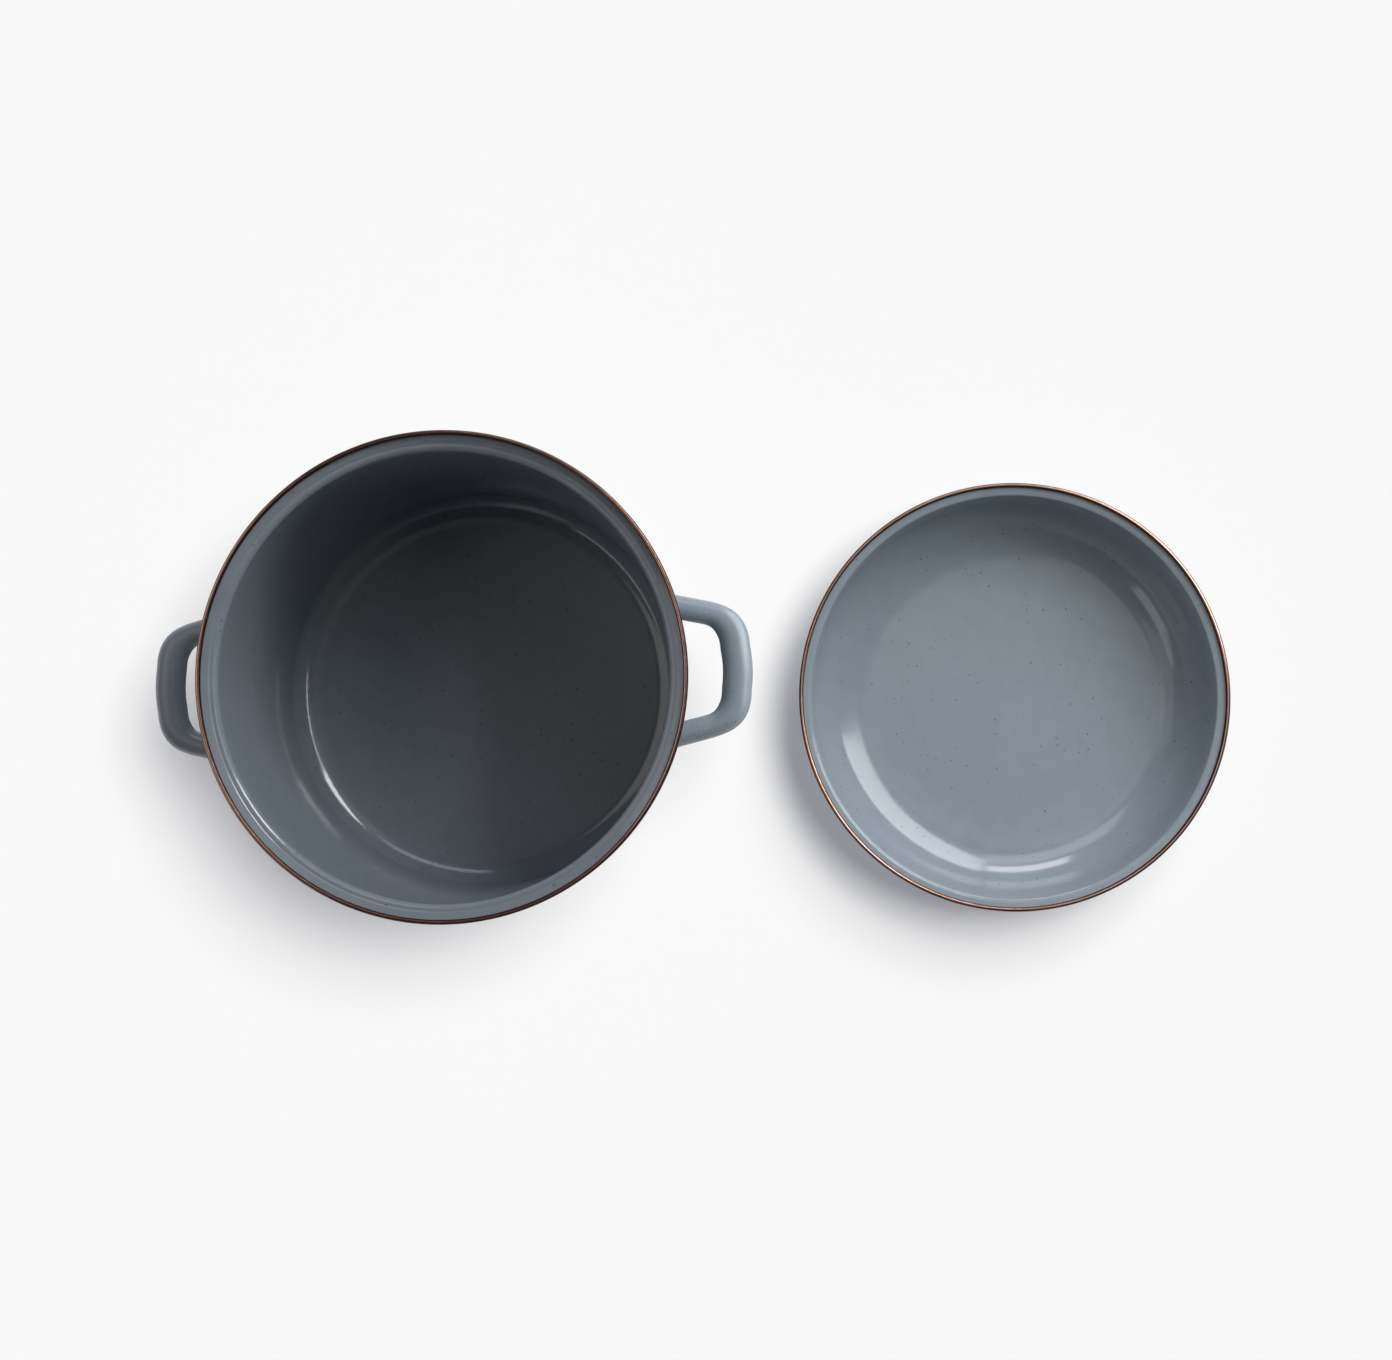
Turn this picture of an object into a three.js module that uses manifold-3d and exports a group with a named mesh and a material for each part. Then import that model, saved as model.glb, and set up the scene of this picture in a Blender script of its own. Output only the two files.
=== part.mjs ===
// Enamel stockpot: a drawn steel pot with two welded bow handles, and a lid that turns
// over into a dish and stands beside the pot. Both mouths end in a metal rim band.
// Millimetres, +Z up. The origin is the centre of the pot's base, and the handles lie along X.
import * as THREE from "three";
import { mergeVertices } from "three/addons/utils/BufferGeometryUtils.js";
import Module from "manifold-3d";

// Driving dimensions: sheet metal
const sheet = 1.5; // enamelled steel, through both coats
const bandSheet = 0.35; // metal of the rim bands
const bandSlack = 0.15; // between a rim band and the edge that it caps
const weldGap = 0.3; // between a welded piece and what it is welded to

// Driving dimensions: pot
const potRimRadius = 130; // outside of the rim band
const potHeight = 165; // base to the top of the rim band
const potLipWidth = 11; // outside of the rim band to the inside of the wall
const potCoveRadius = 21; // wide bend that lifts out of the floor, on the inside
const potCoveSweep = THREE.MathUtils.degToRad(40); // how far the wide bend turns
const potHeelRadius = 7; // tighter bend from there into the wall, on the inside
const potShoulderRadius = 5.2; // bend from the wall out to the lid's seat
const potSeatDrop = 1.7; // lid's seat below the top of the rim band

// Driving dimensions: lid, as it stands on its own base
const lidHeight = 48; // base to the top of its rim band
const lidPlay = 1.2; // radial play of the closed lid inside the pot's rim band
const lidLipWidth = 2.1; // flat lip between the shoulder and the turned-up edge
const lidLipDrop = 1.5; // lip below the top of the rim band
const lidShoulderRadius = 3; // bend from the wall out to the lip
const lidCoveRadius = 33; // inside corner between the floor and the wall
const lidWallLean = THREE.MathUtils.degToRad(10); // wall out of upright
const lidGap = 27.1; // on the table, between the right handle's reach and the lid's rim
const lidAside = -18; // centre of the lid off the line of the handles

// Driving dimensions: handles
const handleHeight = 127; // middle of the grip above the table
const gripStandoff = 35.3; // pot's wall to the middle of the grip, where it bows out most
const gripWidth = 16.3;
const gripThickness = 11.5;
const gripBow = 1; // how far the grip bulges outwards
const legWidth = 13;
const legThickness = 11;
const legSpread = 33.2; // half the distance between the legs, where they meet the rim's outside
const legSplay = THREE.MathUtils.degToRad(13); // how far each leg opens towards the pot
const elbowLength = 16; // corner of an elbow to where its bend starts and ends
const handleSheet = 1.3; // wall of the hollow handle
const ventRadius = 1.5; // hole under the grip that lets the hollow breathe in the kiln
const footThickness = 1.6;
const footMargin = 4.5; // how far a foot stands out round its leg

// Fineness of the facets
const turnSteps = 56; // round a turned piece
const smallArcSteps = 4;
const largeArcSteps = 6;
const handleSteps = 40; // along a handle
const handleSides = 12; // round a handle

// What follows from the driving dimensions
const bandRadius = sheet / 2 + bandSlack + bandSheet; // half the width of a rim band
const bandInset = 2 * bandRadius; // width of a rim band
const potMouthRadius = potRimRadius - potLipWidth;
const potWallOutside = potMouthRadius + sheet;
const gripReach = potWallOutside + gripStandoff; // pot's axis to the middle of the grip
const lidRimRadius = potRimRadius - bandInset - lidPlay;
const lidReach = gripReach + gripWidth / 2 + lidGap + lidRimRadius; // pot's axis to the lid's, along X
const footInside = potWallOutside + weldGap;
const footOutside = footInside + footThickness;

const wasm = await Module();
wasm.setup();

// Materials

const enamel = new THREE.MeshStandardMaterial({ color: 0x7d888f, roughness: 0.22, metalness: 0 });
const copper = new THREE.MeshStandardMaterial({ color: 0xa8704f, roughness: 0.3, metalness: 1 });

// Outlines

// Points of an arc in a profile, from one angle to another, both in degrees from the radial direction.
function arc(centreR, centreZ, radius, fromDegrees, toDegrees, steps) {
  const points = [];
  for (let i = 0; i <= steps; i++) {
    const angle = THREE.MathUtils.degToRad(fromDegrees + ((toDegrees - fromDegrees) * i) / steps);
    points.push(new THREE.Vector2(centreR + radius * Math.cos(angle), centreZ + radius * Math.sin(angle)));
  }
  return points;
}

// A solid turned about the Z axis from a profile of (radius, height) points.
function turned(profile) {
  return new THREE.LatheGeometry(profile, turnSteps).rotateX(Math.PI / 2);
}

// The turned-up edge that a rim band caps, from its inside corner to its outside corner.
function turnedUpEdge(rimRadius, top, drop) {
  const middle = rimRadius - bandRadius;
  const lip = top - drop;
  const crest = top - bandRadius + edgeRise();
  return [
    new THREE.Vector2(middle - sheet / 2, lip),
    new THREE.Vector2(middle - sheet / 2, crest),
    new THREE.Vector2(middle + sheet / 2, crest),
    new THREE.Vector2(middle + sheet / 2, lip - sheet),
  ];
}

// How far a turned-up edge reaches above the middle of its rim band.
function edgeRise() {
  const halfSlot = sheet / 2 + bandSlack;
  return Math.sqrt(bandRadius ** 2 - halfSlot ** 2) - bandSheet - bandSlack;
}

// Turned pieces

function potShell() {
  const lip = potHeight - potSeatDrop;
  const sweep = THREE.MathUtils.radToDeg(potCoveSweep);
  const heelRun = potHeelRadius * (1 - Math.sin(potCoveSweep));
  const floorRadius = potMouthRadius - heelRun - potCoveRadius * Math.sin(potCoveSweep);
  const coveZ = sheet + potCoveRadius;
  const heelR = potMouthRadius - potHeelRadius;
  const heelZ = coveZ - (potCoveRadius - potHeelRadius) * Math.cos(potCoveSweep);
  const shoulderR = potMouthRadius + potShoulderRadius;
  const shoulderZ = lip - potShoulderRadius;
  const underBend = potShoulderRadius - sheet;
  return turned([
    new THREE.Vector2(0, 0),
    ...arc(floorRadius, coveZ, potCoveRadius + sheet, -90, sweep - 90, smallArcSteps),
    ...arc(heelR, heelZ, potHeelRadius + sheet, sweep - 90, 0, smallArcSteps).slice(1),
    ...arc(shoulderR, shoulderZ, underBend, 180, 90, smallArcSteps),
    ...turnedUpEdge(potRimRadius, potHeight, potSeatDrop).reverse(),
    ...arc(shoulderR, shoulderZ, potShoulderRadius, 90, 180, smallArcSteps),
    ...arc(heelR, heelZ, potHeelRadius, 0, sweep - 90, smallArcSteps).slice(0, -1),
    ...arc(floorRadius, coveZ, potCoveRadius, sweep - 90, -90, smallArcSteps),
    new THREE.Vector2(0, sheet),
  ]);
}

function lidDish() {
  const lip = lidHeight - lidLipDrop;
  const lean = THREE.MathUtils.radToDeg(lidWallLean);
  const shoulderR = lidRimRadius - bandRadius - sheet / 2 - lidLipWidth;
  const shoulderZ = lip - lidShoulderRadius;
  const coveZ = sheet + lidCoveRadius;
  const wallTop = shoulderZ + lidShoulderRadius * Math.sin(lidWallLean);
  const wallFoot = coveZ - lidCoveRadius * Math.sin(lidWallLean);
  const wallRun = (wallTop - wallFoot) * Math.tan(lidWallLean);
  const bends = (lidShoulderRadius + lidCoveRadius) * Math.cos(lidWallLean);
  const floorRadius = shoulderR - wallRun - bends;
  return turned([
    new THREE.Vector2(0, 0),
    ...arc(floorRadius, coveZ, lidCoveRadius + sheet, -90, -lean, largeArcSteps),
    ...arc(shoulderR, shoulderZ, lidShoulderRadius - sheet, 180 - lean, 90, smallArcSteps),
    ...turnedUpEdge(lidRimRadius, lidHeight, lidLipDrop).reverse(),
    ...arc(shoulderR, shoulderZ, lidShoulderRadius, 90, 180 - lean, smallArcSteps),
    ...arc(floorRadius, coveZ, lidCoveRadius, -lean, -90, largeArcSteps),
    new THREE.Vector2(0, sheet),
  ]);
}

// A rim band: a round-topped channel that caps a turned-up edge, with its outer leg covering the edge.
function rimBand(rimRadius, top, drop) {
  const middleR = rimRadius - bandRadius;
  const middleZ = top - bandRadius;
  const halfSlot = sheet / 2 + bandSlack;
  const innerFoot = top - drop + bandSlack;
  const outerFoot = top - drop - sheet;
  const slotTop = middleZ + edgeRise() + bandSlack;
  const outline = [
    new THREE.Vector2(middleR - halfSlot, innerFoot),
    new THREE.Vector2(middleR - halfSlot, slotTop),
    new THREE.Vector2(middleR + halfSlot, slotTop),
    new THREE.Vector2(middleR + halfSlot, outerFoot),
    new THREE.Vector2(middleR + bandRadius, outerFoot),
    ...arc(middleR, middleZ, bandRadius, 0, 180, largeArcSteps),
    new THREE.Vector2(middleR - bandRadius, innerFoot),
  ];
  return turned([...outline, outline[0]]);
}

// Solids for booleans

function solidFrom(geometry) {
  const bare = geometry.clone();
  bare.deleteAttribute("normal");
  bare.deleteAttribute("uv");
  const merged = mergeVertices(bare, 1e-4);
  return new wasm.Manifold(
    new wasm.Mesh({
      numProp: 3,
      vertProperties: merged.attributes.position.array,
      triVerts: new Uint32Array(merged.index.array),
    }),
  );
}

function geometryFrom(solid) {
  const mesh = solid.getMesh();
  return new THREE.BufferGeometry()
    .setAttribute("position", new THREE.BufferAttribute(mesh.vertProperties, 3))
    .setIndex(new THREE.BufferAttribute(mesh.triVerts, 1));
}

// Handles, modelled pointing along +X

// Where a leg's middle line crosses the rim's outside, and the direction from there to the pot.
function legLine(side) {
  return {
    point: new THREE.Vector2(potRimRadius, side * legSpread),
    towardsPot: new THREE.Vector2(-Math.cos(legSplay), side * Math.sin(legSplay)),
  };
}

// A point of a leg's middle line at a given distance along X from the pot's axis.
function legPointAt(x, side) {
  const { point, towardsPot } = legLine(side);
  return point.clone().addScaledVector(towardsPot, (x - point.x) / towardsPot.x);
}

// The middle line of a handle, seen from above: leg, elbow, bowed grip, elbow, leg.
function handleLine() {
  const root = potMouthRadius - legWidth; // inside the pot, where the wall cuts it off
  const line = new THREE.Path();
  const corner = (side) => legPointAt(gripReach - gripBow, side);
  const elbowOnLeg = (side) =>
    corner(side).addScaledVector(legLine(side).towardsPot, elbowLength);
  const elbowOnGrip = (side) => corner(side).add(new THREE.Vector2(0, -side * elbowLength));
  const start = legPointAt(root, 1);
  line.moveTo(start.x, start.y);
  line.lineTo(elbowOnLeg(1).x, elbowOnLeg(1).y);
  line.quadraticCurveTo(corner(1).x, corner(1).y, elbowOnGrip(1).x, elbowOnGrip(1).y);
  line.quadraticCurveTo(gripReach + gripBow, 0, elbowOnGrip(-1).x, elbowOnGrip(-1).y);
  line.quadraticCurveTo(corner(-1).x, corner(-1).y, elbowOnLeg(-1).x, elbowOnLeg(-1).y);
  const end = legPointAt(root, -1);
  line.lineTo(end.x, end.y);
  return line;
}

// A closed tube along the handle's middle line: an oval that widens from leg to grip, drawn in by inset.
function handleTube(inset) {
  const line = handleLine();
  const positions = [];
  for (let i = 0; i <= handleSteps; i++) {
    const share = i / handleSteps;
    const middle = line.getPointAt(share);
    const along = line.getTangentAt(share);
    const sideways = new THREE.Vector2(along.y, -along.x);
    const onGrip = THREE.MathUtils.smoothstep(Math.abs(along.y), 0.25, 0.95);
    const halfWidth = THREE.MathUtils.lerp(legWidth, gripWidth, onGrip) / 2 - inset;
    const halfThickness = THREE.MathUtils.lerp(legThickness, gripThickness, onGrip) / 2 - inset;
    for (let j = 0; j < handleSides; j++) {
      const angle = (2 * Math.PI * j) / handleSides;
      const out = halfWidth * Math.cos(angle);
      positions.push(
        middle.x + sideways.x * out,
        middle.y + sideways.y * out,
        handleHeight + halfThickness * Math.sin(angle),
      );
    }
  }
  return tubeFromRings(positions, handleSteps + 1, handleSides);
}

// Joins equal rings of points into a closed tube with flat ends.
function tubeFromRings(positions, rings, sides) {
  const index = [];
  for (let i = 0; i < rings - 1; i++) {
    for (let j = 0; j < sides; j++) {
      const a = i * sides + j;
      const b = i * sides + ((j + 1) % sides);
      index.push(a, b + sides, b, a, a + sides, b + sides);
    }
  }
  const last = (rings - 1) * sides;
  for (let j = 1; j < sides - 1; j++) {
    index.push(0, j, j + 1, last, last + j + 1, last + j);
  }
  return new THREE.BufferGeometry()
    .setAttribute("position", new THREE.Float32BufferAttribute(positions, 3))
    .setIndex(index);
}

// A tall cylinder about the pot's axis, used to cut pieces to the curve of the wall.
function potCylinder(radius) {
  return solidFrom(
    new THREE.CylinderGeometry(radius, radius, 2 * potHeight, turnSteps).rotateX(Math.PI / 2),
  );
}

// A hollow pressed handle, cut to sit on its two feet, with a vent under the grip.
function bowHandle() {
  const vent = new THREE.CylinderGeometry(ventRadius, ventRadius, gripThickness, handleSides)
    .rotateX(Math.PI / 2)
    .translate(gripReach, 0, handleHeight - gripThickness / 2);
  return geometryFrom(
    solidFrom(handleTube(0))
      .subtract(solidFrom(handleTube(handleSheet)))
      .subtract(potCylinder(footOutside + weldGap))
      .subtract(solidFrom(vent)),
  );
}

// A foot: an oval saddle plate, curved to the wall, that a leg is welded to.
function handleFoot(side) {
  const oval = new THREE.Shape();
  oval.absellipse(0, 0, legWidth / 2 + footMargin, legThickness / 2 + footMargin, 0, 2 * Math.PI);
  const plug = new THREE.ExtrudeGeometry(oval, {
    depth: legWidth + footMargin + footOutside - footInside,
    bevelEnabled: false,
    curveSegments: handleSides,
  });
  const root = legPointAt(footInside - legWidth, side);
  plug
    .applyMatrix4(new THREE.Matrix4().makeBasis(
      new THREE.Vector3(0, 1, 0),
      new THREE.Vector3(0, 0, 1),
      new THREE.Vector3(1, 0, 0),
    ))
    .rotateZ(-side * legSplay)
    .translate(root.x, root.y, handleHeight);
  const ring = potCylinder(footOutside).subtract(potCylinder(footInside));
  return geometryFrom(solidFrom(plug).intersect(ring));
}

// Assembly

function piece(name, geometry, material) {
  const mesh = new THREE.Mesh(geometry, material);
  mesh.name = name;
  return mesh;
}

const pot = new THREE.Group();
pot.add(
  piece("pot_shell", potShell(), enamel),
  piece("pot_rim_band", rimBand(potRimRadius, potHeight, potSeatDrop), copper),
);

for (const [name, turn] of [["right", 0], ["left", Math.PI]]) {
  const handle = new THREE.Group();
  handle.rotation.z = turn;
  handle.add(
    piece(`${name}_handle`, bowHandle(), enamel),
    piece(`${name}_handle_foot_1`, handleFoot(1), enamel),
    piece(`${name}_handle_foot_2`, handleFoot(-1), enamel),
  );
  pot.add(handle);
}

const lid = new THREE.Group();
lid.position.set(lidReach, lidAside, 0);
lid.add(
  piece("lid_dish", lidDish(), enamel),
  piece("lid_rim_band", rimBand(lidRimRadius, lidHeight, lidLipDrop), copper),
);

const stockpot = new THREE.Group();
stockpot.add(pot, lid);

export default stockpot;
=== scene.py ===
"""Enamel stockpot with bow handles, and its lid standing beside it as a dish.

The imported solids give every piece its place. Each is replaced here by a fine mesh of the same main
sizes, dressed in slate enamel or in copper-toned rim metal, and set in a plain, pale studio.
Sizes are millimetres and degrees. Meshes, lamps and the camera are made in metres.
"""

import logging
import math
from dataclasses import dataclass, replace
from enum import Enum
from typing import Any, Callable, Dict, List, Sequence, Tuple

import bpy
from mathutils import Euler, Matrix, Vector


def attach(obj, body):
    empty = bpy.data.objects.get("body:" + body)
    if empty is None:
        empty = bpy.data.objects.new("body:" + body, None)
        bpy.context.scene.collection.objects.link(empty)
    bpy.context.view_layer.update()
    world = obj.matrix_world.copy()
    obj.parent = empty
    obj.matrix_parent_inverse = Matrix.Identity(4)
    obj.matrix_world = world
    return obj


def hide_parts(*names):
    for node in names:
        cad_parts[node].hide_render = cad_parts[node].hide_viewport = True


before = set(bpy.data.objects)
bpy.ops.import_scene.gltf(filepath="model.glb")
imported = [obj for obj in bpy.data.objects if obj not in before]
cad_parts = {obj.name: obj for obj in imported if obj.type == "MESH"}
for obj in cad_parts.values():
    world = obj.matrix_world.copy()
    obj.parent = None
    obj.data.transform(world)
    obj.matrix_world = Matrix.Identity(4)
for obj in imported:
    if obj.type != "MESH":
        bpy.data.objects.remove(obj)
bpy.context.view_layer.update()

LOG = logging.getLogger("stockpot")
MM = 0.001
# The attribute holds wear on the enamel, and on the rim bands the painted shade at their edges.
WEAR_AND_SHADE = "wear"
SHARP_BEND = 42.0
TOUCHING = 1e-5

Point = Tuple[float, float]
Place = Tuple[float, float, float]
Colour = Tuple[float, float, float]
Ring = List[Vector]
Piece = bpy.types.Object
Material = bpy.types.Material
Socket = bpy.types.NodeSocket


class Body(Enum):
    """The two bodies that pieces ride on."""

    POT = "pot"
    LID = "lid"


class Slot(Enum):
    """The record's material slots."""

    ENAMEL = "enamel"
    RIM_METAL = "rim_metal"


class Lit(Enum):
    """What a lamp shines on."""

    BOWL = "bowl_and_rim"
    HANDLES = "handles_and_feet"
    POT = "pot_pieces"
    LID = "lid_pieces"
    BOTH = "whole_object"
    FLOOR = "floor_only"


class Side(Enum):
    """Which way a handle points along X."""

    RIGHT = 1
    LEFT = -1

    @property
    def word(self) -> str:
        """The side's name, as the solids' names begin."""
        return self.name.lower()


# Outlines


def ease(value: float, low: float, high: float) -> float:
    """Eases from 0 to 1 while a value goes from low to high.

    Args:
        value: the value to place.
        low: where the result leaves 0.
        high: where the result reaches 1.

    Returns:
        A share from 0 to 1.
    """
    share = min(max((value - low) / (high - low), 0.0), 1.0)
    return share * share * (3.0 - 2.0 * share)


def oval(half_width: float, half_height: float, steps: int) -> List[Point]:
    """Points round an oval about the origin.

    Args:
        half_width: half its width.
        half_height: half its height.
        steps: how many points there are.

    Returns:
        The points in order.
    """
    turn = [2.0 * math.pi * i / steps for i in range(steps)]
    return [(half_width * math.cos(a), half_height * math.sin(a)) for a in turn]


def bend(centre: Point, radius: float, start: float, end: float, steps: int) -> List[Point]:
    """Points along a bend of a turned outline.

    Args:
        centre: the bend's centre, as distance from the axis and height.
        radius: the bend's radius.
        start: angle of the first point, in degrees from straight out.
        end: angle of the last point.
        steps: how many pieces the bend is cut into.

    Returns:
        The points in order, with both ends.
    """
    turn = [math.radians(start + (end - start) * i / steps) for i in range(steps + 1)]
    return [(centre[0] + radius * math.cos(a), centre[1] + radius * math.sin(a)) for a in turn]


def straight(start: Point, end: Point, steps: int) -> List[Point]:
    """Evenly spaced points from start to end.

    Args:
        start: the first point.
        end: the last point.
        steps: how many pieces the line is cut into.

    Returns:
        The points in order, with both ends.
    """
    shares = [i / steps for i in range(steps + 1)]
    return [(start[0] + (end[0] - start[0]) * s, start[1] + (end[1] - start[1]) * s) for s in shares]


def strung(*stretches: Sequence[Point]) -> List[Point]:
    """Strings stretches of an outline together, without doubled points.

    Args:
        stretches: the stretches in order.

    Returns:
        One outline.
    """
    outline: List[Point] = []
    for stretch in stretches:
        for point in stretch:
            if not outline or math.dist(outline[-1], point) > TOUCHING:
                outline.append(point)
    return outline


# Meshes


def smooth(mesh: bpy.types.Mesh) -> None:
    """Shades a mesh smooth but for its sharp bends."""
    mesh.shade_smooth()
    mesh.set_sharp_from_angle(angle=math.radians(SHARP_BEND))


def new_piece(name: str, points: Sequence[Vector], faces: Sequence[Sequence[int]]) -> Piece:
    """Makes a smooth piece in the scene from points in millimetres.

    Args:
        name: the piece's name.
        points: its points.
        faces: indices of each face's points.

    Returns:
        The new object.
    """
    mesh = bpy.data.meshes.new(name)
    mesh.from_pydata([point * MM for point in points], [], faces)
    mesh.validate()
    smooth(mesh)
    piece = bpy.data.objects.new(name, mesh)
    bpy.context.scene.collection.objects.link(piece)
    return piece


def mark_wear_and_shade(piece: Piece, share: Callable[[Vector], float]) -> None:
    """Writes how worn each point of a piece is, for its finish to read; on a rim band it is the painted shade
    at the band's edges.

    Args:
        piece: the piece to mark.
        share: gives the wear from 0 to 1 at a point in millimetres; for a rim band, the painted shade at its
            edges.
    """
    values = [share(vertex.co / MM) for vertex in piece.data.vertices]
    layer = piece.data.attributes.new(WEAR_AND_SHADE, "FLOAT", "POINT")
    layer.data.foreach_set("value", values)


def turned(name: str, outline: Sequence[Point], steps: int, loop: bool) -> Piece:
    """Turns an outline round the Z axis.

    Args:
        name: the piece's name.
        outline: points as distance from the axis and height, with the metal on the left.
        steps: how many facets go round.
        loop: True for a ring's closed outline, False for one that starts and ends on the axis.

    Returns:
        The turned piece.
    """
    points: List[Vector] = []
    rows: List[List[int]] = []
    for radius, height in outline:
        if radius < TOUCHING:
            rows.append([len(points)] * steps)
            points.append(Vector((0.0, 0.0, height)))
            continue
        rows.append(list(range(len(points), len(points) + steps)))
        points += [Vector((x, y, height)) for x, y in oval(radius, radius, steps)]
    faces: List[List[int]] = []
    pairs = list(zip(rows, rows[1:])) + ([(rows[-1], rows[0])] if loop else [])
    for low, high in pairs:
        for i in range(steps):
            j = (i + 1) % steps
            corners = [low[i], low[j], high[j], high[i]]
            faces.append([corner for k, corner in enumerate(corners) if corner != corners[k - 1]])
    return new_piece(name, points, faces)


def skinned(name: str, rings: Sequence[Ring]) -> Piece:
    """Skins equal rings of points into a closed body.

    Args:
        name: the piece's name.
        rings: the rings in order, each turning the same way.

    Returns:
        The skinned piece, with a fan over each end.
    """
    sides = len(rings[0])
    points = [point for ring in rings for point in ring]
    faces: List[List[int]] = []
    for i in range(len(rings) - 1):
        for j in range(sides):
            k = (j + 1) % sides
            faces.append([i * sides + j, i * sides + k, (i + 1) * sides + k, (i + 1) * sides + j])
    for ring, order in ((0, -1), (len(rings) - 1, 1)):
        points.append(sum(rings[ring], Vector()) / sides)
        for j in range(sides):
            pair = [ring * sides + j, ring * sides + (j + 1) % sides][::order]
            faces.append([len(points) - 1] + pair)
    return new_piece(name, points, faces)


# Finishes


class Wiring:
    """Adds nodes to one node tree and links them."""

    NOISE_ROUGHNESS = 0.55
    SPECK_EDGE = 2.5
    MIX_SHARE, MIX_FIRST, MIX_SECOND, MIX_RESULT = 0, 6, 7, 2

    def __init__(self, tree: bpy.types.NodeTree) -> None:
        """Takes a node tree and empties it."""
        self.tree = tree
        tree.nodes.clear()

    def node(self, kind: str, inputs: Dict[Any, Any], **settings: Any) -> bpy.types.Node:
        """Adds a node.

        Args:
            kind: the node's type.
            inputs: for each input, by name or number, the socket that feeds it or its value.
            settings: the node's own settings.

        Returns:
            The new node.
        """
        made = self.tree.nodes.new(kind)
        for key, value in settings.items():
            setattr(made, key, value)
        for key, value in inputs.items():
            if isinstance(value, Socket):
                self.tree.links.new(value, made.inputs[key])
            else:
                made.inputs[key].default_value = value
        return made

    def sum(self, operation: str, *terms: Any, clamp: bool = False) -> Socket:
        """Works out one step of arithmetic.

        Args:
            operation: the Math node's operation.
            terms: sockets or numbers, in order.
            clamp: whether the result is held between 0 and 1.

        Returns:
            The result's socket.
        """
        made = self.node("ShaderNodeMath", dict(enumerate(terms)), operation=operation, use_clamp=clamp)
        return made.outputs[0]

    def noise(self, where: Socket, scale: float, detail: float) -> Socket:
        """Cloudy values from 0 to 1.

        Args:
            where: the coordinates.
            scale: clouds to the metre.
            detail: how many finer layers are added.

        Returns:
            The value's socket.
        """
        inputs = {"Vector": where, "Scale": scale, "Detail": detail, "Roughness": self.NOISE_ROUGHNESS}
        return self.node("ShaderNodeTexNoise", inputs).outputs["Fac"]

    def specks(self, where: Socket, scale: float, size: float) -> Socket:
        """Scattered round specks of uneven size.

        Args:
            where: the coordinates.
            scale: specks to the metre.
            size: radius of the largest, as a share of their spacing.

        Returns:
            A socket that is 1 in a speck and 0 outside.
        """
        cells = self.node("ShaderNodeTexVoronoi", {"Vector": where, "Scale": scale}, feature="F1")
        luck = self.node("ShaderNodeSeparateColor", {0: cells.outputs["Color"]}).outputs[0]
        reach = self.sum("MULTIPLY", luck, size)
        inside = self.sum("SUBTRACT", reach, cells.outputs["Distance"])
        return self.sum("MULTIPLY", inside, self.SPECK_EDGE / size, clamp=True)

    def ramp(self, value: Any, stops: Sequence[Tuple[float, Colour]]) -> Socket:
        """Colours a value by stops.

        Args:
            value: the socket to colour.
            stops: place and linear colour of each stop, in order.

        Returns:
            The colour's socket.
        """
        made = self.node("ShaderNodeValToRGB", {0: value})
        elements = made.color_ramp.elements
        while len(elements) < len(stops):
            elements.new(1.0)
        for element, (place, colour) in zip(elements, stops):
            element.position = place
            element.color = (*colour, 1.0)
        return made.outputs[0]

    def blend(self, share: Any, first: Any, second: Any) -> Socket:
        """Mixes two colours.

        Args:
            share: how much of the second colour there is.
            first: the first colour.
            second: the second colour.

        Returns:
            The mixed colour's socket.
        """
        inputs = {self.MIX_SHARE: share, self.MIX_FIRST: first, self.MIX_SECOND: second}
        return self.node("ShaderNodeMix", inputs, data_type="RGBA").outputs[self.MIX_RESULT]


@dataclass(frozen=True)
class Specks:
    """One kind of dark speck in the enamel."""

    scale: float
    size: float
    strength: float


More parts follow.
